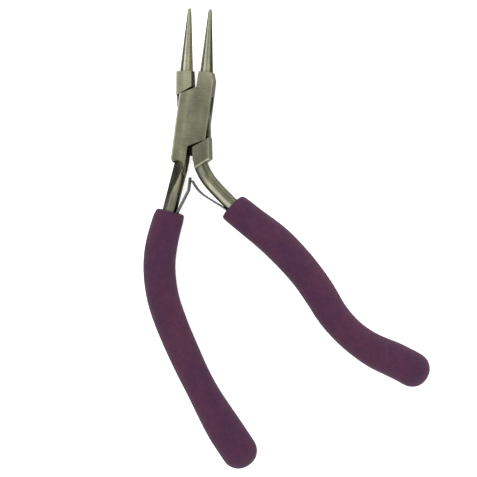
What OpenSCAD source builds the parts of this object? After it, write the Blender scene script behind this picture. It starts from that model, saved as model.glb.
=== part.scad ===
// Round nose pliers with a box joint, twin leaf springs and foam grips.
// The origin is on the pivot's axis, in the plane of the back cheek. +Z runs along the
// pivot pin to the front, +Y along the fixed half's gripping line towards the tips, and
// +X to the right. The pieces are drawn around the pivot's middle and then raised.
// The box half is fixed. The lap half is drawn closed and then opened about the pivot.

/* [Opening] */
// Angle between the jaws at rest, with the springs relaxed
open_deg = 8.9; // [4:0.1:9.5]
// Angle between the jaws at which the joint's inner stops meet
stop_deg = 10; // [9.5:0.1:12]

/* [Box joint] */
// Half the width of the head, across the closed jaws
head_half_w = 5.45; // [5:0.05:6.5]
// Thickness of the head, along the pivot
head_t = 9; // [8:0.1:11]
// Bevel along the long edges of the head
edge_bevel = 0.55; // [0.3:0.05:0.8]
// Height of each shoulder's outer end above the pivot
shoulder_y = 7.1; // [6:0.1:8]
// Slope of the shoulders
shoulder_deg = 28.5; // [20:0.5:35]
// Gap between the shoulders of the closed halves
shoulder_gap = 0.2; // [0.1:0.05:0.4]
// Thickness of the tongue that passes through the slot
tongue_t = 3.6; // [3:0.1:4.2]
// Reach of the tongue's web, below the pivot in the crotch
web_r = 13.4; // [11:0.1:14]
// Width of the tongue's web
web_w = 2.7; // [2:0.1:3]
// Play on each face of the tongue
tongue_play = 0.04; // [0.02:0.01:0.1]
// Diameter of the pivot pin
pin_d = 4; // [3:0.1:5]
// Radial play between the pin and the tongue
pin_play = 0.03; // [0.01:0.01:0.1]
// Depth of the pin's ends below the cheeks
pin_recess = 0.05; // [0.02:0.01:0.2]

/* [Jaws] */
// Height of the jaw block's top above the pivot
block_top_y = 15.6; // [14:0.1:18]
// Thickness of the jaw block at its top
block_top_t = 7.4; // [6:0.1:9]
// Width cut off the outer corner of the box half's jaw block
corner_w = 0.95; // [0.5:0.05:1.5]
// Height of the cut at that corner
corner_h = 2.8; // [1:0.1:4]
// Length of each cone
cone_len = 21.6; // [15:0.1:25]
// Diameter of the cone at the block
cone_base_d = 4.45; // [4:0.05:5]
// Diameter of the cone at the tip
cone_tip_d = 1.25; // [0.8:0.05:2]
// Half of the play between the closed cones
jaw_play = 0.03; // [0.02:0.01:0.1]

/* [Handles] */
// Width of the tang across the handle
tang_w = 4.6; // [4:0.1:6]
// Depth of the tang, along the pivot
tang_t = 6.8; // [5:0.1:8]
// Width of the ridge on the front and the back of the tang
ridge_w = 1.4; // [0.8:0.1:3]
// Depth of the tang's flat sides
tang_side_t = 3; // [2:0.1:5]
// Distance from the pivot to the start of both tangs
tang_top_y = -15.7; // [-18:0.1:-14]
// Length of the box half's tang left bare above the grip
bare_len = 17.4; // [14:0.1:20]
// Length of the lap half's tang left bare above the grip
lap_bare_len = 18.6; // [14:0.1:20]
// Length of foam below the end of the tang
foam_end = 10; // [8:0.5:14]
// Sideways place of the crotch between the closed handles
crotch_x = -0.25; // [-0.4:0.05:0.2]
// Gap in the crotch between the closed handles
crotch_gap = 0.1; // [0.06:0.02:0.3]

/* [Grips] */
// Width of the foam grip across the handle
grip_w = 10.9; // [10:0.1:13]
// Depth of the foam grip, along the pivot
grip_t = 12.6; // [11:0.1:15]
// Play between the foam and what it covers
grip_play = 0.12; // [0.1:0.01:0.3]
// Share of its size that the foam loses at its rim
rim_drop = 0.16; // [0:0.01:0.2]
// Share of its size that the foam loses at its waist
waist_drop = 0.04; // [0:0.01:0.08]
// Share of its size that the foam gains at its end
bulb_rise = 0.15; // [0:0.01:0.2]

/* [Leaf springs] */
// Thickness of each leaf
leaf_t = 0.45; // [0.3:0.05:0.8]
// Width of each leaf, along the pivot
leaf_w = 4.8; // [4:0.1:5.5]
// Distance from the top of the grip down to the bend of each leaf
bend_down = 0.8; // [0.5:0.1:1.5]
// Lean of the left leaf away from its tang
left_lean = 12.9; // [11:0.1:14]
// Length of the left leaf from its bend to its knee
left_blade = 8.2; // [7:0.1:9]
// Lean of the right leaf away from its tang
right_lean = 11.1; // [9:0.1:12]
// Length of the right leaf from its bend to its curve
right_blade = 7.6; // [6.5:0.1:8]
// Length of each leaf's foot, under the grip
foot_len = 8; // [7:0.5:10]
// Distance from the bend of each leaf down to its rivet
rivet_down = 4; // [3:0.5:5]
// Diameter of the rivet's shank
rivet_d = 1.8; // [1.4:0.1:2.2]
// Diameter of the rivet's head
rivet_head_d = 3.2; // [2.6:0.1:4]
// Height of the rivet's head
rivet_head_h = 0.7; // [0.5:0.1:1]

/* [Hidden] */
$fn = 64;

// Each run is a list of [length, turn]; a turn towards +X is positive.
box_start = [-2.0, tang_top_y];
box_heading = -7;
box_run = [[25.6, 0], [27.3, 35.2], [53, 14.2]];
lap_start = [1.75, tang_top_y];
lap_heading = 16;
lap_run = [[8.6, 24.7], [21.5, 10.9], [34.9, -22.6], [27.6, 37.6], [10, -8.3]];

steel = [0.62, 0.62, 0.57];
spring_steel = [0.55, 0.55, 0.52];
foam = [0.33, 0.20, 0.29];

// A length beyond every solid, for cutting shapes.
big = 40;
// A clearance that keeps touching faces apart.
skin = 0.02;

shoulder_slope = tan(shoulder_deg);
shoulder_h = shoulder_y + head_half_w * shoulder_slope;
gap_h = shoulder_gap / cos(shoulder_deg);
cone_lean = atan((cone_base_d - cone_tip_d) / 2 / cone_len);
// Length of cone and tang that is buried in the block.
buried = 3;

// The plans of the blocks: the inner edges of the handle blocks meet in the crotch.
box_in = crotch_x - crotch_gap / 2;
lap_in = crotch_x + crotch_gap / 2;
block_w = head_half_w + 1;
box_jaw = [
    [jaw_play, 0], [block_w, 0], [block_w, block_top_y - corner_h * (1 + 1 / corner_w)],
    [head_half_w - corner_w, block_top_y], [jaw_play, block_top_y]
];
lap_jaw = [
    [-jaw_play, 0], [-block_w, 0], [-block_w, block_top_y], [-jaw_play, block_top_y]
];
box_block = [
    [box_in, 0], [box_in, tang_top_y - 0.2], [-4.4, tang_top_y - 0.5],
    [-head_half_w, tang_top_y + 0.9], [-block_w, tang_top_y + 2.3], [-block_w, 0]
];
lap_block = [
    [lap_in, 0], [lap_in, tang_top_y + 1.1], [0.75, tang_top_y - 1.9],
    [head_half_w, tang_top_y + 1.1], [block_w, tang_top_y + 1.7], [block_w, 0]
];
box_wall = [[box_in, 0], [box_in, tang_top_y - 0.2], [-0.02, tang_top_y - 2.7]];
lap_wall = [[lap_in, 0], [lap_in, tang_top_y - 0.2], [0.15, tang_top_y - 2.3]];

// Each leaf is a run that climbs from the end of its foot to its tip.
left_leaf_run = [[foot_len, 0], [0.8, -left_lean], [left_blade, 0], [1.2, 20.6], [3.8, 0]];
right_leaf_run = [[foot_len, 0], [0.8, right_lean], [right_blade, 0], [6, -28], [1.4, 0]];
rivet_depth = 2;

// The foam's rim and bulb fade over these lengths, and its skin has these rings.
rim_len = 2;
bulb_len = 22;
ring_points = 20;
ring_step = 4;
tang_step = 2;

// ---- Runs: a point that walks along [length, turn] pieces --------------------------

function walk(p, h, len, turn) =
    turn == 0
        ? [p[0] + len * sin(h), p[1] - len * cos(h)]
        : let (r = len / turn * 180 / PI)
          [p[0] + r * (cos(h) - cos(h + turn)), p[1] + r * (sin(h) - sin(h + turn))];

function total(run, i = 0) = i == len(run) ? 0 : run[i][0] + total(run, i + 1);

// The place [point, heading] at distance s along a run.
function place_at(p, h, run, s, i = 0) =
    i == len(run) || s <= run[i][0]
        ? let (turn = i == len(run) ? 0 : run[i][1] * s / run[i][0])
          [walk(p, h, s, turn), h + turn]
        : place_at(walk(p, h, run[i][0], run[i][1]), h + run[i][1], run, s - run[i][0], i + 1);

box_bend = place_at(box_start, box_heading, box_run, bare_len + bend_down);
lap_bend = place_at(lap_start, lap_heading, lap_run, bare_len + bend_down);

module at_place(place) {
    translate([place[0][0], place[0][1], 0]) rotate([0, 0, place[1]]) children();
}

// ---- Skins: solids made of rings of points along a run -------------------------------

// Skins a list of rings, closed at both ends.
module skin_rings(rings) {
    n = len(rings[0]);
    count = len(rings);
    polyhedron(
        points = [for (r = rings) for (q = r) q],
        faces = concat(
            [[for (k = [0 : n - 1]) k]],
            [
                for (i = [0 : count - 2])
                    for (k = [0 : n - 1])
                        let (m = (k + 1) % n)
                        [i * n + k, (i + 1) * n + k, (i + 1) * n + m, i * n + m]
            ],
            [[for (k = [n - 1 : -1 : 0]) (count - 1) * n + k]]
        )
    );
}

// A point of a section at a place: x runs across the handle and z along the pivot.
function across(place, x, z) =
    [place[0][0] + x * cos(place[1]), place[0][1] + x * sin(place[1]), z];

// ---- Head --------------------------------------------------------------------------

// The envelope of both halves: bevelled long edges and a block that thins to its top.
module head_envelope() {
    w = head_half_w;
    t = head_t / 2;
    e = edge_bevel;
    top_t = block_top_t / 2;
    intersection() {
        translate([0, block_top_y, 0]) rotate([90, 0, 0]) linear_extrude(big)
            polygon([
                [w, t - e], [w - e, t], [e - w, t], [-w, t - e],
                [-w, e - t], [e - w, -t], [w - e, -t], [w, e - t]
            ]);
        rotate([0, 90, 0]) linear_extrude(big, center = true)
            polygon([
                [t, -big], [t, shoulder_h], [top_t, block_top_y + 1],
                [-top_t, block_top_y + 1], [-t, shoulder_h], [-t, -big]
            ]);
    }
}

// The band between two parallel shoulders, on both sides of the pivot.
module band(half_h, slope) {
    polygon([
        [-big, half_h - big * slope], [-big, -half_h - big * slope],
        [big, -half_h + big * slope], [big, half_h + big * slope]
    ]);
}

// Moves a piece from the pivot's middle to its place in front of the back cheek.
module raised() {
    translate([0, 0, head_t / 2]) children();
}

module full_depth() {
    translate([0, 0, -big / 2]) linear_extrude(big) children();
}

// The layer in the middle of the head that holds the tongue.
module tongue_layer(play = 0) {
    translate([0, 0, -tongue_t / 2 - play]) linear_extrude(tongue_t + 2 * play) children();
}

// The web of the tongue, which closes the crotch's gap while the tool is open.
module web(play = 0) {
    intersection() {
        circle(r = web_r + play);
        translate([lap_in - web_w - play, -web_r - 1]) square([web_w + 2 * play, web_r + 1]);
    }
}

// The cone leans so that its inner edge lies along the gripping line.
module cone(side) {
    base_r = cone_base_d / 2;
    tip_r = cone_tip_d / 2;
    straight = cone_len - tip_r;
    translate([side * (jaw_play + base_r / cos(cone_lean)), block_top_y, 0])
        rotate([0, 0, side * cone_lean]) rotate([-90, 0, 0]) {
            cylinder(h = straight, r1 = base_r, r2 = tip_r);
            translate([0, 0, straight]) sphere(r = tip_r);
        }
}

module pivot_bore(play) {
    translate([0, 0, -big / 2]) cylinder(h = big, r = pin_d / 2 + play);
}

// ---- Handles -----------------------------------------------------------------------

// An eight-sided ring of the tang: flat sides, sloping shoulders and a narrow ridge.
function tang_ring(place) =
    let (side_x = tang_w / 2, side_z = tang_side_t / 2, ridge_x = ridge_w / 2, ridge_z = tang_t / 2)
    [
        for (q = [
            [side_x, side_z], [ridge_x, ridge_z], [-ridge_x, ridge_z], [-side_x, side_z],
            [-side_x, -side_z], [-ridge_x, -ridge_z], [ridge_x, -ridge_z], [side_x, -side_z]
        ])
            across(place, q[0], q[1])
    ];

// A tang runs from inside its block to above the closed end of the foam.
module tang(start, heading, run) {
    length = total(run) - foam_end;
    steps = round(length / tang_step);
    first = [walk(start, heading, -buried, 0), heading];
    skin_rings(concat(
        [tang_ring(first)],
        [for (i = [0 : steps]) tang_ring(place_at(start, heading, run, length * i / steps))]
    ));
}

// The space that the other handle needs, beyond a wall in the crotch.
module beyond_wall(wall, side) {
    full_depth() polygon(concat(wall, [[side * big, wall[2][1]], [side * big, 0]]));
}

// The blind hole for a rivet in the tang's inner side; side points away from the tang.
module rivet_hole(bend, side) {
    at_place(bend) translate([side * (tang_w / 2 - rivet_depth), -rivet_down, 0])
        rotate([0, side * 90, 0]) cylinder(h = rivet_depth + 1, r = rivet_d / 2);
}

module box_half() {
    color(steel) raised() {
        difference() {
            intersection() {
                head_envelope();
                full_depth() union() {
                    polygon(box_jaw);
                    polygon(box_block);
                    band(shoulder_h, shoulder_slope);
                }
            }
            tongue_layer(tongue_play) {
                band(shoulder_h + gap_h, -shoulder_slope);
                web(2 * tongue_play);
            }
            pivot_bore(0);
        }
        cone(1);
        difference() {
            tang(box_start, box_heading, box_run);
            beyond_wall(box_wall, 1);
            tongue_layer(tongue_play) web(2 * tongue_play);
            rivet_hole(box_bend, 1);
        }
    }
}

// The lap half is drawn closed. Its tongue is the mirror image of the box half's cheeks,
// and a second pair of edges on the tongue meets the slot at the stop.
module lap_half() {
    color(steel) raised() rotate([0, 0, open_deg]) {
        difference() {
            intersection() {
                head_envelope();
                union() {
                    full_depth() difference() {
                        union() {
                            polygon(lap_jaw);
                            polygon(lap_block);
                        }
                        band(shoulder_h + gap_h, shoulder_slope);
                    }
                    tongue_layer() {
                        web();
                        intersection() {
                            band(shoulder_h, -shoulder_slope);
                            rotate(-stop_deg) band(shoulder_h + gap_h - skin, -shoulder_slope);
                        }
                    }
                }
            }
            pivot_bore(pin_play);
        }
        cone(-1);
        difference() {
            tang(lap_start, lap_heading, lap_run);
            beyond_wall(lap_wall, -1);
            rivet_hole(lap_bend, -1);
        }
    }
}

// The pin is ground nearly flush with both faces of the head.
module pivot_pin() {
    color(steel) raised() cylinder(h = head_t - 2 * pin_recess, r = pin_d / 2, center = true);
}

// ---- Leaf springs ------------------------------------------------------------------

// The two sides of a strip that follows a run, as one closed outline.
function strip_side(p, h, run, off, step = 0.5, i = 0) =
    i == len(run)
        ? [p + off * [cos(h), sin(h)]]
        : let (
              n = run[i][1] == 0 ? 1 : ceil(run[i][0] / step),
              here = [
                  for (k = [0 : n - 1])
                      let (
                          turn = run[i][1] * k / n,
                          q = walk(p, h, run[i][0] * k / n, turn)
                      )
                      q + off * [cos(h + turn), sin(h + turn)]
              ]
          )
          concat(
              here,
              strip_side(walk(p, h, run[i][0], run[i][1]), h + run[i][1], run, off, step, i + 1)
          );

function reversed(list) = [for (i = [len(list) - 1 : -1 : 0]) list[i]];

// Draws a leaf in the frame of its bend, with its foot against the tang.
module leaf(run, side) {
    start = [side * (tang_w / 2 + leaf_t / 2 + skin), -foot_len];
    difference() {
        translate([0, 0, -leaf_w / 2]) linear_extrude(leaf_w)
            polygon(concat(
                strip_side(start, 180, run, leaf_t / 2),
                reversed(strip_side(start, 180, run, -leaf_t / 2))
            ));
        translate([0, -rivet_down, 0]) rotate([0, side * 90, 0])
            cylinder(h = big, r = rivet_d / 2 + 2 * skin);
    }
}

// A rivet with a bevelled head that holds the leaf's foot down.
module rivet(side) {
    seat = tang_w / 2 + leaf_t + 2 * skin;
    head_bevel = rivet_head_h / 2;
    translate([0, -rivet_down, 0]) rotate([0, side * 90, 0]) {
        translate([0, 0, tang_w / 2 - rivet_depth + skin])
            cylinder(h = rivet_depth + leaf_t + skin, r = rivet_d / 2);
        translate([0, 0, seat])
            cylinder(h = rivet_head_h - head_bevel, r = rivet_head_d / 2);
        translate([0, 0, seat + rivet_head_h - head_bevel])
            cylinder(h = head_bevel, r1 = rivet_head_d / 2, r2 = rivet_head_d / 2 - head_bevel);
    }
}

module left_leaf_spring() {
    color(spring_steel) raised() at_place(box_bend) leaf(left_leaf_run, 1);
}

module right_leaf_spring() {
    color(spring_steel) raised() rotate([0, 0, open_deg]) at_place(lap_bend) leaf(right_leaf_run, -1);
}

module left_spring_rivet() {
    color(steel) raised() at_place(box_bend) rivet(1);
}

module right_spring_rivet() {
    color(steel) raised() rotate([0, 0, open_deg]) at_place(lap_bend) rivet(-1);
}

// ---- Grips -------------------------------------------------------------------------

function smooth(x) = let (c = min(max(x, 0), 1)) c * c * (3 - 2 * c);

// The foam's size at distance u below its top, as a share of its full size: a rounded
// rim, a waist and a bulb at the end.
function foam_size(u, length) =
    1 - rim_drop * exp(-u / rim_len) - waist_drop * smooth((u - length / 4) / (length / 2))
        + bulb_rise * smooth((u - length + bulb_len) / bulb_len);

// A ring of points around a place. squareness is 1 for an ellipse, and less for a
// rounded rectangle; left and right are the ring's reach on each side of the place.
function ring(place, left, right, half_t, squareness) = [
    for (k = [0 : ring_points - 1])
        let (
            a = 360 * k / ring_points,
            reach = cos(a) < 0 ? left : right,
            x = reach * sign(cos(a)) * pow(abs(cos(a)), squareness),
            z = half_t * sign(sin(a)) * pow(abs(sin(a)), squareness)
        )
        across(place, x, z)
];

// A foam sleeve with a closed, rounded end. Its hollow holds the tang, and is wider near
// the top on the side where the leaf's foot and the rivet sit.
module grip(start, heading, run, side, bare) {
    length = total(run) - bare;
    hollow = length - foam_end + 0.5;
    foot_room = tang_w / 2 + leaf_t + rivet_head_h + 3 * grip_play;
    tang_room = tang_w / 2 + grip_play;
    foot_end = bend_down + foot_len + 0.5;
    steps = round(length / ring_step);
    inner = [
        for (i = [steps : -1 : 0])
            let (
                u = hollow * i / steps,
                room = u <= foot_end ? foot_room : tang_room,
                place = place_at(start, heading, run, bare + u)
            )
            ring(
                place, side < 0 ? room : tang_room, side > 0 ? room : tang_room,
                tang_t / 2 + grip_play, 0.35
            )
    ];
    outer = [
        for (i = [0 : steps])
            let (
                u = i == 0 ? 0 : length * pow(i / steps, 1.15),
                f = foam_size(u, length),
                place = place_at(start, heading, run, bare + u)
            )
            ring(place, grip_w / 2 * f, grip_w / 2 * f, grip_t / 2 * f, 1)
    ];
    end = place_at(start, heading, run, bare + length);
    end_w = grip_w / 2 * foam_size(length, length);
    end_t = grip_t / 2 * foam_size(length, length);
    cap = [
        for (b = [20 : 20 : 80])
            ring([walk(end[0], end[1], end_w * sin(b), 0), end[1]],
                end_w * cos(b), end_w * cos(b), end_t * cos(b), 1)
    ];
    skin_rings(concat(inner, outer, cap));
}

module left_grip() {
    color(foam) raised() grip(box_start, box_heading, box_run, 1, bare_len);
}

module right_grip() {
    color(foam) raised() rotate([0, 0, open_deg])
        grip(lap_start, lap_heading, lap_run, -1, lap_bare_len);
}

box_half();
lap_half();
pivot_pin();
left_leaf_spring();
right_leaf_spring();
left_spring_rivet();
right_spring_rivet();
left_grip();
right_grip();
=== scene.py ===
"""Round nose pliers with a box joint, twin leaf springs and foam grips, in the CAD frame."""

import math

import bmesh
import bpy
from mathutils import Matrix, Vector, noise

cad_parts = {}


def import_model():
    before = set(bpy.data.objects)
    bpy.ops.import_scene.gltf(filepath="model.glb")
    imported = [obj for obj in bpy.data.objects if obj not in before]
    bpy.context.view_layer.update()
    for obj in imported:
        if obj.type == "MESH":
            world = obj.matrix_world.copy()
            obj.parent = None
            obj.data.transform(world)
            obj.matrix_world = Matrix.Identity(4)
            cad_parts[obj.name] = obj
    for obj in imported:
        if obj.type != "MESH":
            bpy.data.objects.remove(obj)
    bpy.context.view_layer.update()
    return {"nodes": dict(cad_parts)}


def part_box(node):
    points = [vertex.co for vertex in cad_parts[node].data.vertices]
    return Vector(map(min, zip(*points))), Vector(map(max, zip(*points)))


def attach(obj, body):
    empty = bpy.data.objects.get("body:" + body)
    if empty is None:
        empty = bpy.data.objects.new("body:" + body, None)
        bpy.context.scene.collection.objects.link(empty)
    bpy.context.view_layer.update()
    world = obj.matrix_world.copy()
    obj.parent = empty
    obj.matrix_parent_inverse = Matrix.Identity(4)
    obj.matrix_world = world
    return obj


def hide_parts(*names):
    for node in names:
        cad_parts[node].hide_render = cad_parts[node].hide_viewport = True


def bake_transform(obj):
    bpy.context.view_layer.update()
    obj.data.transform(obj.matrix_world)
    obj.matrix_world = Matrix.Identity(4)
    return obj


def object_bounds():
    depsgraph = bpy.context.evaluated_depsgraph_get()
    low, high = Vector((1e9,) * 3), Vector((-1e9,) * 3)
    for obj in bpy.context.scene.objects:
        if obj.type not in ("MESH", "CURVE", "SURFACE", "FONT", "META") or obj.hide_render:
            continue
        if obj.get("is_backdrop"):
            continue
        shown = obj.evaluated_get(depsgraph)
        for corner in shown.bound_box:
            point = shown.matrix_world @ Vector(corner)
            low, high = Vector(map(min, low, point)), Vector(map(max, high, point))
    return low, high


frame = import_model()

MM = 0.001
PIVOT = sum(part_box("pivot_pin"), Vector()) / 2

# ---- Sizes in millimetres, as the CAD part has them -----------------------------------
OPEN = math.radians(8.9)         # how far the halves are open at rest
STOP = math.radians(10)          # how far they open to the inner stops
HEAD_W = 5.45                    # half the head's width
HEAD_T = 4.5                     # half the head's thickness
SHOULDER = math.radians(28.5)
SHOULDER_Y = 7.1                 # the shoulders' outer ends above the pivot
SHOULDER_GAP = 0.2
SHOULDER_SLOPE = math.tan(SHOULDER)
SHOULDER_H = SHOULDER_Y + HEAD_W * SHOULDER_SLOPE
GAP_H = SHOULDER_GAP / math.cos(SHOULDER)
TONGUE_T = 1.8                   # half the tongue's thickness
TONGUE_PLAY = 0.04
STOP_PLAY = 0.02
PIN_R = 2.0
PIN_PLAY = 0.03
BLOCK_TOP = 15.6
CORNER_W, CORNER_H = 0.95, 2.8   # the cut corner of the box half's jaw block
CONE_LEN = 21.6
CONE_BASE_R = 2.225
CONE_TIP_R = 0.625
JAW_PLAY = 0.03
TANG_TOP = -15.7
TANG_W = 4.6
BURIED = 3.0                     # how far tangs and cones reach into the head
BOX_BARE = 17.4                  # tang left bare above the foam
LAP_BARE = 18.6
WEB_TOP = -4.0
WEB_R = 13.4                     # reach of the tongue's web in the crotch
WEB_W = 2.7
LAP_IN = -0.20                   # the inner edges of the two handle blocks
BOX_IN = -0.30
FOAM_END = 10.0                  # foam past the tang's end
GRIP_W = 10.9
GRIP_T = 12.6
LEAF_T = 0.45
LEAF_W = 4.8
LEAF_PLAY = 0.02
FOOT = 8.0                       # the leaf's flat foot, under the foam
BEND_DOWN = 0.8                  # from the foam's edge to the leaf's bend
FAR = 40.0                       # beyond the head on every side

# Runs are lists of (length, turn in degrees), walked from a start and a heading.
BOX_START, BOX_HEADING = (-2.0, TANG_TOP), -7.0
BOX_RUN = [(25.6, 0), (27.3, 35.2), (53.0, 14.2)]
LAP_START, LAP_HEADING = (1.75, TANG_TOP), 16.0
LAP_RUN = [(8.6, 24.7), (21.5, 10.9), (34.9, -22.6), (27.6, 37.6), (10.0, -8.3)]
LEFT_LEAF_RUN = [(FOOT, 0), (0.8, -12.9), (8.2, 0), (1.2, 20.6), (3.8, 0)]
RIGHT_LEAF_RUN = [(FOOT, 0), (0.8, 11.1), (7.6, 0), (6.0, -28), (1.4, 0)]

# ---- Sizes in millimetres that only the looks have ------------------------------------
TOP_T = 3.75                     # half the jaw block's thickness at its top
EDGE_W = 0.7                     # the head's sloped edges
EDGE_DROP = 0.32 * EDGE_W
BEVEL = 0.14
STEP_DROP = 0.43                 # the slanted step under the lap half's block
STEP_RISE = 0.76
LEAF_EDGE_R = 0.22
TIP_LEN = 0.9                    # the rounded end of a leaf
TIP_SHARE = 0.72                 # its width at the very end, as a share of the leaf's
RIM = 0.95                       # radius of the foam's rim
RIM_LEAN = 0.45                  # how far the rim leans towards the leaf
LEAN_LEN = 4.0                   # and how slowly that fades along the sleeve
HOLLOW_T = 3.5                   # half the depth of the foam's hollow
TANG_ROOM = 0.1                  # room in the hollow beside the tang,
FOOT_ROOM = 0.9                  # beside the leaf's foot
MOUTH_ROOM = 0.25                # and beside the leaf in the mouth
MOUTH_DIP = 0.12                 # how far the top face falls towards the mouth
DEPTH_SHARE = 0.962              # the foam's depth, as a share of the CAD's
BULB_SHARE = 0.965               # the round end's length, as a share of its half width
DENT, DENT_RATE = 0.10, 0.11     # depth of the foam's soft dents, and dents to a mm
GRAIN, GRAIN_RATE = 0.035, 0.55  # the same for its fine unevenness
SHRINK = 0.04                    # taken off all over, for what the unevenness adds


# ---- Paths ----------------------------------------------------------------------------
def walk(p, h, length, turn):
    """The point reached from p with heading h degrees from -Y towards +X."""
    a, b = math.radians(h), math.radians(h + turn)
    if turn == 0:
        return (p[0] + length * math.sin(a), p[1] - length * math.cos(a))
    r = length / math.radians(turn)
    return (p[0] + r * (math.cos(a) - math.cos(b)), p[1] + r * (math.sin(a) - math.sin(b)))


def place_at(p, h, run, s):
    """(point, heading) at distance s along a run, which goes on straight past its end."""
    for i, (length, turn) in enumerate(run):
        if s <= length or i == len(run) - 1:
            part = turn * min(s, length) / length
            q = walk(p, h, min(s, length), part)
            if s > length:
                q = walk(q, h + part, s - length, 0)
            return q, h + part
        p = walk(p, h, length, turn)
        h += turn
        s -= length


def total(run):
    return sum(length for length, _ in run)


def smooth(x):
    x = min(max(x, 0.0), 1.0)
    return x * x * (3 - 2 * x)


def across(place, x, z):
    """A point of a section: x runs across the path and z along the pivot."""
    (px, py), h = place
    a = math.radians(h)
    return Vector((px + x * math.cos(a), py + x * math.sin(a), z)) * MM


# ---- Outlines -------------------------------------------------------------------------
def arc(cx, cy, rx, ry, a0, a1, n):
    """n steps of an elliptic arc from a0 to a1 degrees."""
    return [
        (cx + rx * math.cos(math.radians(a)), cy + ry * math.sin(math.radians(a)))
        for a in [a0 + (a1 - a0) * k / n for k in range(n + 1)]
    ]


def circle(r, n):
    return [
        (r * math.cos(2 * math.pi * k / n), r * math.sin(2 * math.pi * k / n)) for k in range(n)
    ]


def curve(p0, p1, p2, n):
    """Points of a quadratic curve, without its first point."""
    out = []
    for k in range(1, n + 1):
        t = k / n
        out.append(tuple(
            (1 - t) ** 2 * a + 2 * t * (1 - t) * b + t * t * c for a, b, c in zip(p0, p1, p2)
        ))
    return out


def fillet(corners, r, n=3):
    """Rounds each corner of a closed outline with n arc steps of radius r."""
    out = []
    for i, corner in enumerate(corners):
        p = Vector(corner)
        a = (Vector(corners[i - 1]) - p).normalized()
        b = (Vector(corners[(i + 1) % len(corners)]) - p).normalized()
        half = a.angle(b) / 2
        reach = r / math.tan(half)
        centre = p + (a + b).normalized() * (r / math.sin(half))
        p0, p1 = p + a * reach - centre, p + b * reach - centre
        turn = p0.angle_signed(p1)
        for k in range(n + 1):
            v = p0.copy()
            v.rotate(Matrix.Rotation(-turn * k / n, 2))
            out.append((centre.x + v.x, centre.y + v.y))
    return out


def superellipse(left, right, half_t, power, n=64):
    """A rounded section with its own half width on each side. A lower power is squarer."""
    out = []
    for c, s in circle(1.0, n):
        reach = left if c < 0 else right
        x = reach * math.copysign(abs(c) ** power, c)
        out.append((x, half_t * math.copysign(abs(s) ** power, s)))
    return out


# ---- Mesh helpers ---------------------------------------------------------------------
def new_object(name, data):
    o = bpy.data.objects.new(name, data)
    bpy.context.scene.collection.objects.link(o)
    return o


def from_bmesh(name, bm):
    bmesh.ops.recalc_face_normals(bm, faces=bm.faces)
    mesh = bpy.data.meshes.new(name)
    bm.to_mesh(mesh)
    bm.free()
    return new_object(name, mesh)


def skin(name, rings):
    """A closed mesh through rings of points."""
    bm = bmesh.new()
    rows = [[bm.verts.new(p) for p in ring] for ring in rings]
    n = len(rings[0])
    for a, b in zip(rows, rows[1:]):
        for k in range(n):
            m = (k + 1) % n
            bm.faces.new((a[k], b[k], b[m], a[m]))
    bm.faces.new(rows[0])
    bm.faces.new(list(reversed(rows[-1])))
    return from_bmesh(name, bm)


def prism(name, outline, half_depth=FAR):
    """An outline in the head's plane, carried both ways along the pivot."""
    rings = [[Vector((x, y, z)) * MM for x, y in outline] for z in (-half_depth, half_depth)]
    return skin(name, rings)


def apply_modifiers(o):
    dg = bpy.context.evaluated_depsgraph_get()
    dg.update()
    mesh = bpy.data.meshes.new_from_object(o.evaluated_get(dg))
    old = o.data
    o.modifiers.clear()
    o.data = mesh
    bpy.data.meshes.remove(old)


def combine(a, b, operation):
    """Applies a boolean of b to a, removes b and returns a."""
    m = a.modifiers.new("bool", "BOOLEAN")
    m.operation = operation
    m.solver = "EXACT"
    m.object = b
    bpy.context.view_layer.update()
    apply_modifiers(a)
    mesh = b.data
    bpy.data.objects.remove(b)
    bpy.data.meshes.remove(mesh)
    return a


def bevel(o, width):
    m = o.modifiers.new("bevel", "BEVEL")
    m.width = width * MM
    m.segments = 2
    m.limit_method = "ANGLE"
    m.angle_limit = math.radians(25)
    m.use_clamp_overlap = True
    bpy.context.view_layer.update()
    apply_modifiers(o)


def clean(o):
    """Merges points that the booleans left almost on top of each other."""
    bm = bmesh.new()
    bm.from_mesh(o.data)
    bmesh.ops.remove_doubles(bm, verts=bm.verts, dist=0.0015 * MM)
    bmesh.ops.dissolve_degenerate(bm, edges=bm.edges, dist=0.0005 * MM)
    bm.to_mesh(o.data)
    bm.free()


def shade(o, angle):
    """Smooth shading, with edges over angle degrees kept sharp."""
    o.data.shade_smooth()
    o.data.set_sharp_from_angle(angle=math.radians(angle))
    m = o.modifiers.new("normals", "WEIGHTED_NORMAL")
    m.keep_sharp = True
    m.weight = 80


def turned(o, angle):
    """Turns a mesh drawn around the pivot's middle."""
    o.data.transform(Matrix.Rotation(angle, 4, "Z"))
    return o


def raised(o):
    """Moves a mesh drawn around the pivot's middle to the pivot's place in the frame."""
    o.data.transform(Matrix.Translation(PIVOT))
    return o


# ---- Parts of the head ----------------------------------------------------------------
def head_envelope(name):
    """The head with sloped edges, thinner towards the top of the jaw block."""
    rings = []
    for y, t in [(-FAR, HEAD_T), (SHOULDER_H, HEAD_T), (BLOCK_TOP, TOP_T)]:
        side, flat, low = HEAD_W, HEAD_W - EDGE_W, t - EDGE_DROP
        section = [
            (side, low), (flat, t), (-flat, t), (-side, low),
            (-side, -low), (-flat, -t), (flat, -t), (side, -low),
        ]
        rings.append([Vector((x, y, z)) * MM for x, z in section])
    return skin(name, rings)


def band(name, half_h, slope, half_depth=FAR):
    """A slanted band across the pivot."""
    outline = [
        (-FAR, half_h - FAR * slope), (-FAR, -half_h - FAR * slope),
        (FAR, -half_h + FAR * slope), (FAR, half_h + FAR * slope),
    ]
    return prism(name, outline, half_depth)


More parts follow.
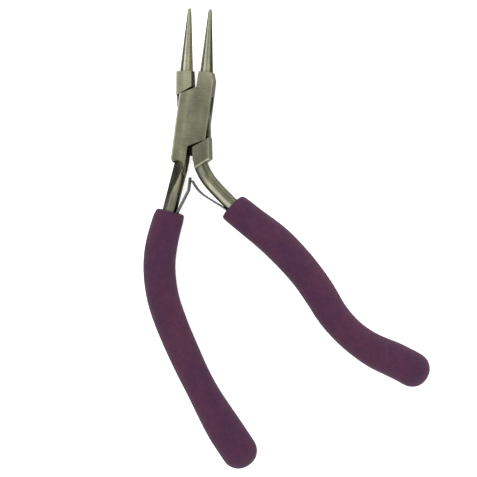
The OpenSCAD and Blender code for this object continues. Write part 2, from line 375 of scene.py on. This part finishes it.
def web(name, play, half_depth):
    """The sector of the tongue that closes the crotch's gap while the tool is open."""
    left, right, r = LAP_IN - WEB_W - play, LAP_IN + play, WEB_R + play
    a0 = math.degrees(math.atan2(-math.sqrt(r * r - left * left), left))
    a1 = math.degrees(math.atan2(-math.sqrt(r * r - LAP_IN * LAP_IN), right))
    outline = [(left, WEB_TOP)] + arc(0, 0, r, r, a0, a1, 8) + [(right, WEB_TOP)]
    return prism(name, outline, half_depth)


def cone(name, side):
    """A round jaw whose inner edge lies along the gripping line."""
    lean = math.atan((CONE_BASE_R - CONE_TIP_R) / CONE_LEN)
    straight = CONE_LEN - CONE_TIP_R
    profile = [(CONE_BASE_R, -BURIED)]
    profile += [
        (CONE_BASE_R + (CONE_TIP_R - CONE_BASE_R) * s / straight, s)
        for s in [straight * k / 12 for k in range(13)]
    ]
    profile += [
        (CONE_TIP_R * math.cos(a), straight + CONE_TIP_R * math.sin(a))
        for a in [math.radians(d) for d in (18, 36, 54, 72, 84)]
    ]
    o = skin(name, [[Vector((x, s, z)) * MM for x, z in circle(r, 48)] for r, s in profile])
    shift = side * (JAW_PLAY + CONE_BASE_R / math.cos(lean))
    place = Matrix.Translation(Vector((shift, BLOCK_TOP, 0)) * MM)
    o.data.transform(place @ Matrix.Rotation(side * lean, 4, "Z"))
    return o


def beyond(name, wall, side):
    """The space that the other handle needs, beyond a wall in the crotch."""
    return prism(name, wall + [(side * FAR, wall[-1][1]), (side * FAR, wall[0][1])])


# ---- Tangs ----------------------------------------------------------------------------
def tang_section(outer, neck, ridge, crease, swell):
    """A wide rounded inner flank meets a flat outer flank in a crisp ridge.
    outer is -1 if the handle's outer side is at negative x, neck is how much higher the ridge
    stands, crease is the depth of the step beside it, and swell is how full the inner flank is."""
    inner_edge = (2.3, 1.15)
    shoulder = (max(2.0, ridge + 0.6), swell)
    half = [inner_edge] + curve(inner_edge, shoulder, (ridge + 0.15, 3.4), 8)
    if crease:
        half += [(ridge - 0.3, 3.26), (ridge - 0.5, 3.26 - crease), (-1.95, 3.1 - crease)]
    else:
        crest = (ridge - 0.15, 3.3)
        half += [crest] + curve(crest, (ridge - 0.7, 2.55), (-2.05, 1.7), 6)
    half += [(-2.3, 1.45)]
    half = [(x, z * (1 + neck * smooth((x + 1.6) / 1.2))) for x, z in half]
    corners = half + [(x, -z) for x, z in reversed(half)]
    if outer > 0:
        corners = [(-x, z) for x, z in reversed(corners)]
    return corners


def tang(name, start, heading, run, outer, neck, ridges, crease, swell):
    """ridges are the ridge's places across the tang, at its top and farther down."""
    steps, neck_len, shift_len = 110, 7.0, 14.0
    length = total(run) - FOAM_END
    places = [(-BURIED, (walk(start, heading, -BURIED, 0), heading))]
    for k in range(steps + 1):
        s = length * k / steps
        places.append((s, place_at(start, heading, run, s)))
    rings = []
    for s, place in places:
        ridge = ridges[0] + (ridges[1] - ridges[0]) * smooth(s / shift_len)
        section = tang_section(outer, neck * (1 - smooth(s / neck_len)), ridge, crease, swell)
        rings.append([across(place, x, z) for x, z in section])
    return skin(name, rings)


# ---- Node helpers ---------------------------------------------------------------------
def new_material(name):
    """(material, its node tree, its shader)"""
    m = bpy.data.materials.new(name)
    m.use_nodes = True
    return m, m.node_tree, m.node_tree.nodes["Principled BSDF"]


def add(nt, kind, **values):
    """A node with its inputs, written with _ for a space, and its settings."""
    n = nt.nodes.new(kind)
    for k, v in values.items():
        key = k.replace("_", " ")
        if key in n.inputs:
            n.inputs[key].default_value = v
        else:
            setattr(n, k, v)
    return n


def stretched_noise(nt, stretch, scale, detail=3.0, rough=0.55):
    """Noise in the part's own coordinates, stretched by a per-axis scale."""
    co = add(nt, "ShaderNodeTexCoord")
    mapping = add(nt, "ShaderNodeMapping", Scale=stretch)
    nt.links.new(co.outputs["Object"], mapping.inputs["Vector"])
    n = add(nt, "ShaderNodeTexNoise", Scale=scale, Detail=detail, Roughness=rough)
    nt.links.new(mapping.outputs["Vector"], n.inputs["Vector"])
    return n.outputs["Fac"]


def even_noise(nt, scale, detail=3.0, rough=0.55):
    return stretched_noise(nt, (1, 1, 1), scale, detail, rough)


def colour_ramp(nt, source, stops, kind="LINEAR"):
    """A ramp through (place, colour) stops, in order."""
    n = add(nt, "ShaderNodeValToRGB")
    n.color_ramp.interpolation = kind
    elements = n.color_ramp.elements
    elements[0].position = stops[0][0]
    elements[-1].position = stops[-1][0]
    for place, _ in stops[1:-1]:
        elements.new(place)
    for element, (place, colour) in zip(elements, stops):
        element.position = place
        element.color = (*colour, 1)
    nt.links.new(source, n.inputs["Fac"])
    return n.outputs["Color"]


def ramp(nt, source, low, high, first=0.3, last=0.7):
    return colour_ramp(nt, source, [(first, low), (last, high)])


def mapped(nt, source, low, high, first=0.0, last=1.0, kind="LINEAR"):
    """Takes the values first to last to low to high."""
    n = add(nt, "ShaderNodeMapRange", interpolation_type=kind)
    for key, value in zip(("From Min", "From Max", "To Min", "To Max"), (first, last, low, high)):
        n.inputs[key].default_value = value
    nt.links.new(source, n.inputs["Value"])
    return n.outputs["Result"]


def calculated(nt, operation, a, b):
    n = add(nt, "ShaderNodeMath", operation=operation)
    nt.links.new(a, n.inputs[0])
    nt.links.new(b, n.inputs[1])
    return n.outputs[0]


def mixed(nt, kind, a, b):
    """Two colours multiplied or added."""
    n = add(nt, "ShaderNodeMix", data_type="RGBA", blend_type=kind)
    n.inputs["Factor"].default_value = 1.0
    nt.links.new(a, n.inputs["A"])
    nt.links.new(b, n.inputs["B"])
    return n.outputs["Result"]


def multiplied(nt, colour, *layers):
    for layer in layers:
        colour = mixed(nt, "MULTIPLY", colour, layer)
    return colour


def bump(nt, bsdf, sources):
    """Chains (height source, strength, distance in mm) bumps into the surface normal."""
    last = None
    for source, strength, distance in sources:
        n = add(nt, "ShaderNodeBump", Strength=strength, Distance=distance * MM)
        nt.links.new(source, n.inputs["Height"])
        if last:
            nt.links.new(last, n.inputs["Normal"])
        last = n.outputs["Normal"]
    nt.links.new(last, bsdf.inputs["Normal"])


# ---- Marks on the steel ---------------------------------------------------------------
def note_places(o):
    """Keeps each point's place in the closed tool, for the bands of tone, painted highlight and
    painted shade.
    """
    layer = o.data.attributes.new("closed_place", "FLOAT_VECTOR", "POINT")
    layer.data.foreach_set("vector", [c for v in o.data.vertices for c in v.co])


def mark_joint(o, inner_x):
    """Marks the faces inside the joint, in the crotch and between the jaws by how much painted shade
    they get.
    """
    marks = []
    for face in o.data.polygons:
        c = (face.center - PIVOT) / MM
        level = abs(face.normal.z)
        tongue = level > 0.9 and abs(abs(c.z) - TONGUE_T) < 0.1 and c.xy.length < WEB_R + 1
        crotch = level < 0.3 and abs(c.x - inner_x) < 0.4 and TANG_TOP - 4 < c.y < -8
        in_jaws = -2.6 < c.x < 0 and 8 < c.y < BLOCK_TOP and abs(c.z) < HEAD_T
        jaws = in_jaws and face.normal.x > 0.9
        marks.append(max(1.0 * tongue, 0.75 * crotch, 0.6 * jaws))
    layer = o.data.attributes.new("joint_shade", "FLOAT", "FACE")
    layer.data.foreach_set("value", marks)


def tone_bands(nt, axis, first, last, greys):
    """Soft bands of brightness along an axis, evenly spread from first to last mm around the pivot."""
    closed = add(nt, "ShaderNodeAttribute", attribute_name="closed_place")
    parts = add(nt, "ShaderNodeSeparateXYZ")
    nt.links.new(closed.outputs["Vector"], parts.inputs[0])
    place = mapped(nt, parts.outputs[axis], 0.0, 1.0, first * MM, last * MM)
    stops = [(k / (len(greys) - 1), (grey, grey, grey)) for k, grey in enumerate(greys)]
    return colour_ramp(nt, place, stops, "EASE")


# ---- Materials ------------------------------------------------------------------------
# Bands along the steel, darker towards the handles and lighter towards the jaws, and across it, where
# the bright ends are painted highlights on the head's side bevels.
TONE_ALONG = (0.61, 0.83, 0.85, 0.90, 0.94, 1.12)
TONE_AND_EDGE_HIGHLIGHTS = (1.5, 0.90, 0.90, 1.16, 1.04, 0.96, 0.89, 0.87, 0.87, 0.90, 1.25)
# The painted shade in the joint fades out towards the tongue's outer edge.
SHADE_ACROSS = (1, 1, 1, 1, 1, 1, 1, 1, 0.95, 0.6, 0.1)
WHITE = (1, 1, 1)


def steel(name, low, high, rough, brush):
    """Satin steel: brushing lines, blotches from handling, bands of tone with painted highlights on
    the head's side bevels, and painted shade in recesses and in the joint.
    """
    m, nt, bsdf = new_material(name)
    bsdf.inputs["Metallic"].default_value = 1.0
    lines = stretched_noise(nt, brush, 1.0, 4.0, 0.7)
    blotch = even_noise(nt, 260.0)
    patches = stretched_noise(nt, (1, 0.35, 1), 210.0, 1.5)
    # Painted shade: the steel darkens in its recesses, by ambient occlusion.
    ao = add(nt, "ShaderNodeAmbientOcclusion", samples=4, Distance=1.2 * MM)
    occlusion_shade = ramp(nt, ao.outputs["AO"], (0.10, 0.095, 0.09), WHITE, 0.2, 0.85)
    # Painted shade on the faces marked inside the joint and between the jaws.
    inside = add(nt, "ShaderNodeAttribute", attribute_name="joint_shade")
    shade_fade = tone_bands(nt, "X", -6, 6, SHADE_ACROSS)
    joint_shade_mask = calculated(nt, "MULTIPLY", inside.outputs["Fac"], shade_fade)
    joint_shade_colour = ramp(nt, joint_shade_mask, WHITE, (0.07, 0.07, 0.07), 0, 1)
    colour = multiplied(
        nt, ramp(nt, blotch, low, high),
        ramp(nt, patches, (0.76, 0.75, 0.80), (1.08, 1.08, 1.0), 0.35, 0.65),
        ramp(nt, lines, (0.77, 0.77, 0.78), (1.02, 1.02, 1.02), 0.25, 0.75),
        # Bands of tone along the steel, and across it with painted highlights on the side bevels.
        tone_bands(nt, "Y", -20, 16, TONE_ALONG),
        tone_bands(nt, "X", -5.6, 5.6, TONE_AND_EDGE_HIGHLIGHTS),
        occlusion_shade, joint_shade_colour,
    )
    nt.links.new(colour, bsdf.inputs["Base Color"])
    # The painted shade also darkens the metal's grazing reflections, which take this tint and not the
    # base colour.
    nt.links.new(multiplied(nt, joint_shade_colour, occlusion_shade), bsdf.inputs["Specular Tint"])
    fine_rough = mapped(nt, lines, rough - 0.07, rough + 0.07)
    roughness = calculated(nt, "ADD", fine_rough, mapped(nt, blotch, -0.04, 0.05))
    nt.links.new(roughness, bsdf.inputs["Roughness"])
    bump(nt, bsdf, [(lines, 0.04, 0.010), (blotch, 0.05, 0.02)])
    return m


def foam():
    """Closed-cell foam: fine cells, soft mottling, a slow drift of hue and a faint sheen."""
    m, nt, bsdf = new_material("purple_foam")
    cells = add(nt, "ShaderNodeTexVoronoi", Scale=2100.0)
    co = add(nt, "ShaderNodeTexCoord")
    nt.links.new(co.outputs["Object"], cells.inputs["Vector"])
    fine = even_noise(nt, 2400.0, 3.0, 0.7)
    soft = even_noise(nt, 330.0, 3.0, 0.5)
    tints = even_noise(nt, 900.0, 2.0, 0.6)
    drift = stretched_noise(nt, (1, 0.4, 1), 95.0, 1.0, 0.4)
    colour = multiplied(
        nt, ramp(nt, soft, (0.063, 0.0200, 0.046), (0.080, 0.0245, 0.055)),
        ramp(nt, tints, (0.90, 0.92, 1.06), (1.06, 1.02, 0.94), 0.35, 0.65),
        ramp(nt, fine, (0.66, 0.66, 0.70), (1.05, 1.05, 1.05), 0.3, 0.66),
        ramp(nt, drift, (0.80, 0.86, 0.93), (0.98, 0.94, 0.92), 0.35, 0.65),
    )
    nt.links.new(colour, bsdf.inputs["Base Color"])
    nt.links.new(mapped(nt, fine, 0.78, 0.95), bsdf.inputs["Roughness"])
    bsdf.inputs["Specular IOR Level"].default_value = 0.25
    bsdf.inputs["Sheen Weight"].default_value = 0.06
    bsdf.inputs["Sheen Roughness"].default_value = 0.6
    bsdf.inputs["Sheen Tint"].default_value = (0.75, 0.5, 0.68, 1)
    bump(nt, bsdf, [(soft, 0.35, 0.12), (fine, 0.5, 0.1), (cells.outputs["Distance"], 0.5, 0.08)])
    return m


STEEL = steel(
    "brushed_steel", low=(0.55, 0.56, 0.385), high=(0.68, 0.68, 0.475),
    rough=0.25, brush=(260, 5200, 700),
)
LEAF_STEEL = steel(
    "spring_steel", low=(0.33, 0.34, 0.35), high=(0.43, 0.43, 0.43),
    rough=0.30, brush=(3500, 500, 3500),
)
FOAM = foam()


def finish_piece(o, material, body, node):
    """Puts a piece in place of a CAD node, on the node's body."""
    raised(o)
    o.data.materials.append(material)
    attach(o, body)
    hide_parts(node)


# ---- Box half -------------------------------------------------------------------------
def box_half():
    head = head_envelope("box_half_steel")
    jaw = prism("jaw", [
        (JAW_PLAY, 0), (HEAD_W + 1, 0), (HEAD_W + 1, BLOCK_TOP - CORNER_H - 2.2),
        (HEAD_W, BLOCK_TOP - CORNER_H), (HEAD_W - CORNER_W, BLOCK_TOP), (JAW_PLAY, BLOCK_TOP),
    ])
    # The block's lower end is an arch between the head's edge and the inner flank.
    arch = arc(-2.75, TANG_TOP - 1.05, 1.95, 1.35, 35, 165, 12)
    block = prism("block", (
        [(BOX_IN, 0), (BOX_IN, TANG_TOP - 0.2), (-0.75, TANG_TOP - 2.4)]
        + arch
        + [(-HEAD_W, TANG_TOP + 0.7), (-HEAD_W - 1, TANG_TOP + 2.3), (-HEAD_W - 1, 0)]
    ))
    plan = combine(jaw, block, "UNION")
    combine(plan, band("band", SHOULDER_H, SHOULDER_SLOPE), "UNION")
    combine(head, plan, "INTERSECT")
    slot = TONGUE_T + TONGUE_PLAY
    combine(head, band("slot", SHOULDER_H + GAP_H, -SHOULDER_SLOPE, slot), "DIFFERENCE")
    combine(head, web("pocket", 2 * TONGUE_PLAY, slot), "DIFFERENCE")
    bevel(head, BEVEL)
    combine(head, cone("cone", 1), "UNION")
    handle = tang(
        "tang", BOX_START, BOX_HEADING, BOX_RUN,
        outer=-1, neck=0.3, ridges=(1.0, -0.35), crease=0.0, swell=2.55,
    )
    wall = [(BOX_IN, 0), (BOX_IN, TANG_TOP - 0.2), (-0.02, TANG_TOP - 2.7)]
    combine(handle, beyond("wall", wall, 1), "DIFFERENCE")
    combine(handle, web("pocket", 2 * TONGUE_PLAY, slot), "DIFFERENCE")
    combine(head, handle, "UNION")
    combine(head, prism("bore", circle(PIN_R, 64)), "DIFFERENCE")
    clean(head)
    note_places(head)
    shade(head, 32)
    finish_piece(head, STEEL, "box_side", "box_half")
    mark_joint(head, BOX_IN)


# ---- Lap half -------------------------------------------------------------------------
def lap_block():
    """The handle block, whose lower end slopes back from its front and back faces."""
    rings = []
    outside, step = HEAD_T + 0.1, HEAD_T - STEP_DROP
    for z, lift in ((-outside, STEP_RISE), (-step, 0.0), (step, 0.0), (outside, STEP_RISE)):
        outline = [
            (LAP_IN, 0), (LAP_IN, TANG_TOP + 1.1), (0.75 - lift * 0.3, TANG_TOP - 1.9 + lift),
            (HEAD_W, TANG_TOP + 1.1 + lift), (HEAD_W + 1, TANG_TOP + 1.7 + lift), (HEAD_W + 1, 0),
        ]
        rings.append([Vector((x, y, z)) * MM for x, y in outline])
    return skin("block", rings)


def lap_half():
    head = head_envelope("lap_half_steel")
    jaw = prism("jaw", [
        (-JAW_PLAY, 0), (-JAW_PLAY, BLOCK_TOP), (-HEAD_W - 1, BLOCK_TOP), (-HEAD_W - 1, 0),
    ])
    plan = combine(jaw, lap_block(), "UNION")
    combine(plan, band("band", SHOULDER_H + GAP_H, SHOULDER_SLOPE), "DIFFERENCE")
    tongue = band("tongue", SHOULDER_H, -SHOULDER_SLOPE, TONGUE_T)
    stop = turned(band("stop", SHOULDER_H + GAP_H - STOP_PLAY, -SHOULDER_SLOPE), -STOP)
    combine(tongue, stop, "INTERSECT")
    combine(tongue, web("web", 0.0, TONGUE_T), "UNION")
    combine(plan, tongue, "UNION")
    combine(head, plan, "INTERSECT")
    bevel(head, BEVEL)
    combine(head, cone("cone", -1), "UNION")
    handle = tang(
        "tang", LAP_START, LAP_HEADING, LAP_RUN,
        outer=1, neck=0.04, ridges=(-0.55, -0.6), crease=0.85, swell=2.95,
    )
    wall = [(LAP_IN, 0), (LAP_IN, TANG_TOP - 0.2), (0.15, TANG_TOP - 2.3)]
    combine(handle, beyond("wall", wall, -1), "DIFFERENCE")
    combine(head, handle, "UNION")
    combine(head, prism("bore", circle(PIN_R + PIN_PLAY, 64)), "DIFFERENCE")
    clean(head)
    note_places(head)
    turned(head, OPEN)
    shade(head, 32)
    finish_piece(head, STEEL, "lap_side", "lap_half")
    mark_joint(head, LAP_IN)


# ---- Leaf springs ---------------------------------------------------------------------
def leaf(name, node, place, run, side, angle):
    """A strip with rounded edges that follows a run from the end of its foot to its tip.
    Its bend sits at place, and it is turned by angle with its handle."""
    # The run is drawn in the frame of the bend, with its foot against the tang.
    foot_x = side * (TANG_W / 2 + LEAF_T / 2 + LEAF_PLAY)
    t, w = LEAF_T / 2, LEAF_W / 2
    section = fillet([(t, w), (-t, w), (-t, -w), (t, -w)], LEAF_EDGE_R)
    length = total(run)
    steps = 90
    rings = []
    for k in range(steps + 1):
        s = length * k / steps
        # The tip's end is rounded across its width.
        short = 1 - min(1.0, (length - s) / TIP_LEN)
        wide = TIP_SHARE + (1 - TIP_SHARE) * math.sqrt(max(0.0, 1 - short * short))
        strip = place_at((foot_x, -FOOT), 180, run, s)
        rings.append([across(strip, x, z * wide) for x, z in section])
    o = skin(name, rings)
    (px, py), h = place
    corner = Vector((px, py, 0))
    turn = Matrix.Rotation(angle, 4, "Z")
    heading = Matrix.Rotation(math.radians(h), 4, "Z")
    o.data.transform(turn @ Matrix.Translation(corner * MM) @ heading)
    raised(o)
    shade(o, 40)
    o.data.materials.append(LEAF_STEEL)
    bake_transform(o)
    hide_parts(node)


# ---- Foam grips -----------------------------------------------------------------------
# Widths are (share of the grip's length, width in mm), eased from one to the next.
LEFT_WIDTHS = [
    (0, 9.9), (0.04, 10.5), (0.15, 11.0), (0.4, 11.0), (0.7, 10.45), (0.93, 12.3), (1, 12.3),
]
RIGHT_WIDTHS = [
    (0, 10.3), (0.04, 10.6), (0.25, 11.4), (0.45, 11.1), (0.7, 10.5), (0.93, 11.95), (1, 12.0),
]
# The hollow's rings, in mm below the rim, and where it widens for the foot and at its mouth.
HOLLOW_RINGS = (26.0, 14.0, 10.0, 9.2, 6.0, 3.0, 1.2, 0.5)
FOOT_END, MOUTH_END = 9.2, 1.2
TOP_RINGS = (0.24, 0.6, 0.86)    # rings of the top face, as shares from the mouth to the rim


def width_at(widths, share):
    for (t0, w0), (t1, w1) in zip(widths, widths[1:]):
        if share <= t1:
            return w0 + (w1 - w0) * smooth((share - t0) / (t1 - t0))
    return widths[-1][1]


def make_uneven(o, first, seed):
    """Foam is never quite even: soft hand-sized dents and a fine unevenness."""
    for v in o.data.vertices[first:]:
        p = v.co / MM
        d = DENT * noise.noise(p * DENT_RATE + Vector((seed, 0, 0)))
        d += GRAIN * noise.noise(p * GRAIN_RATE + Vector((0, seed, 0)))
        v.co += v.normal * ((d - SHRINK) * MM)


def grip(name, node, body, start, heading, run, bare, inner, angle, widths, seed):
    """A foam sleeve: hollow for the tang, rounded rim, soft waist and a bulb at its end.
    inner is the side that the leaf is on."""
    length = total(run) - bare
    rings = []

    def half_sizes(u):
        w = width_at(widths, u / length)
        return w / 2, w / GRIP_W * GRIP_T / 2 * DEPTH_SHARE

    def ring(u, section, shift=0.0):
        place = place_at(start, heading, run, bare + u)
        rings.append([across(place, x + shift, z) for x, z in section])

    def outer(u, drop):
        w, t = half_sizes(u)
        lean = inner * RIM_LEAN * math.exp(-u / LEAN_LEN)
        ring(u, superellipse(w - drop, w - drop, t - drop, 0.93), lean)

    # The hollow hugs the tang, and the leaf's foot on one side of it.
    tight = TANG_W / 2 + TANG_ROOM
    foot = TANG_W / 2 + LEAF_T + FOOT_ROOM
    mouth = TANG_W / 2 + LEAF_T + MOUTH_ROOM
    for u in HOLLOW_RINGS:
        room = mouth if u <= MOUTH_END else foot if u <= FOOT_END else tight
        left, right = (room, tight) if inner < 0 else (tight, room)
        ring(u, superellipse(left, right, HOLLOW_T, 0.6))
    # The top face, then the rounded rim, then the sleeve.
    w, t = half_sizes(0)
    left, right = (mouth, tight) if inner < 0 else (tight, mouth)
    for f in TOP_RINGS:
        section = superellipse(
            left + (w - RIM - left) * f, right + (w - RIM - right) * f,
            HOLLOW_T + (t - RIM - HOLLOW_T) * f, 0.8,
        )
        ring(MOUTH_DIP * (1 - f), section, inner * RIM_LEAN * f)
    for k in range(7):
        a = math.radians(90 * k / 6)
        outer(RIM * (1 - math.cos(a)), RIM * (1 - math.sin(a)))
    steps = 72
    for k in range(1, steps + 1):
        outer(RIM + (length - RIM) * k / steps, 0.0)
    # A round end past the path's own end.
    w, t = half_sizes(length)
    for k in range(1, 13):
        a = math.radians(90 * k / 12.4)
        c = math.cos(a) ** 0.92
        ring(length + BULB_SHARE * w * math.sin(a), superellipse(w * c, w * c, t * c, 0.95))

    o = turned(skin(name, rings), angle)
    make_uneven(o, (len(HOLLOW_RINGS) + len(TOP_RINGS)) * len(rings[0]), seed)
    sub = o.modifiers.new("sub", "SUBSURF")
    sub.levels = sub.render_levels = 1
    apply_modifiers(o)
    o.data.shade_smooth()
    finish_piece(o, FOAM, body, node)


# ---- Build ----------------------------------------------------------------------------
box_half()
lap_half()

# Both leaves bend at the same distance along their tangs.
leaf(
    "left_leaf", "left_leaf_spring", place_at(BOX_START, BOX_HEADING, BOX_RUN, BOX_BARE + BEND_DOWN),
    LEFT_LEAF_RUN, side=1, angle=0.0,
)
leaf(
    "right_leaf", "right_leaf_spring", place_at(LAP_START, LAP_HEADING, LAP_RUN, BOX_BARE + BEND_DOWN),
    RIGHT_LEAF_RUN, side=-1, angle=OPEN,
)
grip(
    "left_grip_foam", "left_grip", "box_side", BOX_START, BOX_HEADING, BOX_RUN, BOX_BARE,
    inner=1, angle=0.0, widths=LEFT_WIDTHS, seed=3.7,
)
grip(
    "right_grip_foam", "right_grip", "lap_side", LAP_START, LAP_HEADING, LAP_RUN, LAP_BARE,
    inner=-1, angle=OPEN, widths=RIGHT_WIDTHS, seed=9.1,
)

# The pin and the rivets keep their CAD meshes.
for node in ("pivot_pin", "left_spring_rivet", "right_spring_rivet"):
    o = frame["nodes"][node]
    o.data.materials.clear()
    o.data.materials.append(STEEL)
    weld = o.modifiers.new("weld", "WELD")
    weld.merge_threshold = 0.002 * MM

# ---- Stage ----------------------------------------------------------------------------
TURN = math.radians(7.6)         # the box half leans this far to the right of the picture's up
TILT = math.radians(8.0)         # the camera looks from this far to the right
up = Vector((-math.sin(TURN), math.cos(TURN), 0))
right_way = Vector((math.cos(TURN), math.sin(TURN), 0))
back = right_way * math.sin(TILT) + Vector((0, 0, 1)) * math.cos(TILT)

# What the steel mirrors, by angle from overhead: (degrees, grey), negative to the left.
STUDIO = [
    (-180, 0.20), (-150, 0.45), (-115, 0.45), (-97, 0.06), (-65, 0.04), (-56, 0.60), (-43, 0.94),
    (-29, 0.74), (-11, 0.34), (10, 0.34), (30, 0.56), (54, 0.50), (66, 0.26), (82, 0.04),
    (115, 0.05), (145, 0.24), (180, 0.20),
]
BLUISH = 1.3                     # how much more blue the brightest band has
BRIGHT = 0.9                     # the grey above which it is bluish


def studio_grey(nt, ray):
    """The grey that the steel mirrors along a ray."""
    def along(direction):
        n = add(nt, "ShaderNodeVectorMath", operation="DOT_PRODUCT")
        nt.links.new(ray, n.inputs[0])
        n.inputs[1].default_value = direction
        return n.outputs["Value"]

    angle = calculated(nt, "ARCTAN2", along(right_way), along((0, 0, 1)))
    place = mapped(nt, angle, 0.0, 1.0, -math.pi, math.pi)
    stops = [
        ((degrees + 180) / 360, (grey, grey, grey * (BLUISH if grey > BRIGHT else 1)))
        for degrees, grey in STUDIO
    ]
    # Brighter beyond the jaws.
    gain = mapped(nt, along(up), 1.0, 1.38, -0.05, 0.25, "SMOOTHSTEP")
    sides = multiplied(nt, colour_ramp(nt, place, stops), gain)
    # Strips of light beyond the handles and far beyond the jaws.
    for way, first, last, most in ((-up, 0.12, 0.60, 0.85), (up, 0.30, 0.65, 0.30)):
        strip = mapped(nt, along(way), 0.0, most, first, last, "SMOOTHSTEP")
        sides = mixed(nt, "ADD", sides, strip)
    return sides


def floor():
    """A pale floor that glows a little. The steel mirrors the studio's greys in its place."""
    size, gap = 3.0, 0.0002
    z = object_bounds()[0].z - gap
    bm = bmesh.new()
    for x, y in ((-size, -size), (size, -size), (size, size), (-size, size)):
        bm.verts.new((x, y, z))
    bm.faces.new(bm.verts)
    o = from_bmesh("floor", bm)
    m, nt, bsdf = new_material("pale_floor")
    grain = even_noise(nt, 40.0, 2.0)
    pale = ramp(nt, grain, (0.93, 0.93, 0.93), (0.95, 0.95, 0.95))
    nt.links.new(pale, bsdf.inputs["Base Color"])
    bsdf.inputs["Roughness"].default_value = 0.9
    bsdf.inputs["Specular IOR Level"].default_value = 0.1
    glow = add(nt, "ShaderNodeEmission", Strength=0.55)
    lit = add(nt, "ShaderNodeAddShader")
    nt.links.new(bsdf.outputs[0], lit.inputs[0])
    nt.links.new(glow.outputs[0], lit.inputs[1])
    geometry = add(nt, "ShaderNodeNewGeometry")
    ray = add(nt, "ShaderNodeVectorMath", operation="SCALE")
    ray.inputs["Scale"].default_value = -1.0
    nt.links.new(geometry.outputs["Incoming"], ray.inputs[0])
    mirrored = add(nt, "ShaderNodeEmission", Strength=1.0)
    nt.links.new(studio_grey(nt, ray.outputs["Vector"]), mirrored.inputs["Color"])
    path = add(nt, "ShaderNodeLightPath")
    choose = add(nt, "ShaderNodeMixShader")
    nt.links.new(path.outputs["Is Glossy Ray"], choose.inputs[0])
    nt.links.new(lit.outputs[0], choose.inputs[1])
    nt.links.new(mirrored.outputs[0], choose.inputs[2])
    nt.links.new(choose.outputs[0], nt.nodes["Material Output"].inputs["Surface"])
    o.data.materials.append(m)
    o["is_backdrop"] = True


def world():
    """An even pale light, and the studio's greys for what the steel mirrors."""
    w = bpy.data.worlds.new("studio")
    bpy.context.scene.world = w
    w.use_nodes = True
    nt = w.node_tree
    co = add(nt, "ShaderNodeTexCoord")
    path = add(nt, "ShaderNodeLightPath")
    choose = add(nt, "ShaderNodeMix", data_type="RGBA")
    nt.links.new(path.outputs["Is Glossy Ray"], choose.inputs["Factor"])
    choose.inputs["A"].default_value = (0.78, 0.78, 0.78, 1)
    nt.links.new(studio_grey(nt, co.outputs["Generated"]), choose.inputs["B"])
    background = nt.nodes["Background"]
    nt.links.new(choose.outputs["Result"], background.inputs["Color"])
    background.inputs["Strength"].default_value = 1.0


floor()
world()

# ---- Camera and light -----------------------------------------------------------------
DISTANCE = 1.3
WIDTH = 0.1622                   # of the view at the target
SENSOR = 36
TARGET = PIVOT + Vector((0.02062, -0.03906, 0))


def camera():
    data = bpy.data.cameras.new("camera")
    data.sensor_width = SENSOR
    data.lens = SENSOR * DISTANCE / WIDTH
    data.clip_start = 0.01
    data.clip_end = 10
    o = new_object("camera", data)
    axes = Matrix((up.cross(back), up, back)).transposed().to_4x4()
    o.matrix_world = Matrix.Translation(TARGET + back * DISTANCE) @ axes
    bpy.context.scene.camera = o


def area(name, direction, distance, size, power, colour):
    """A light at a distance from the target, aimed at it and not mirrored."""
    d = Vector(direction).normalized()
    data = bpy.data.lights.new(name, "AREA")
    data.shape = "RECTANGLE"
    data.size, data.size_y = size
    data.energy = power
    data.color = colour
    o = new_object(name, data)
    o.location = TARGET + d * distance
    o.rotation_mode = "QUATERNION"
    o.rotation_quaternion = (-d).to_track_quat("-Z", "Y")
    o.visible_glossy = False


camera()
area("top_softbox", (-0.25, 0.15, 1.0), 1.1, (0.9, 0.9), 8.0, (1.0, 0.99, 0.96))
area("right_strip", (1.0, 0.1, 0.45), 1.0, (0.25, 1.0), 3.0, (0.97, 0.98, 1.0))
bpy.context.scene.view_settings.view_transform = "Standard"
bpy.context.scene.view_settings.look = "None"
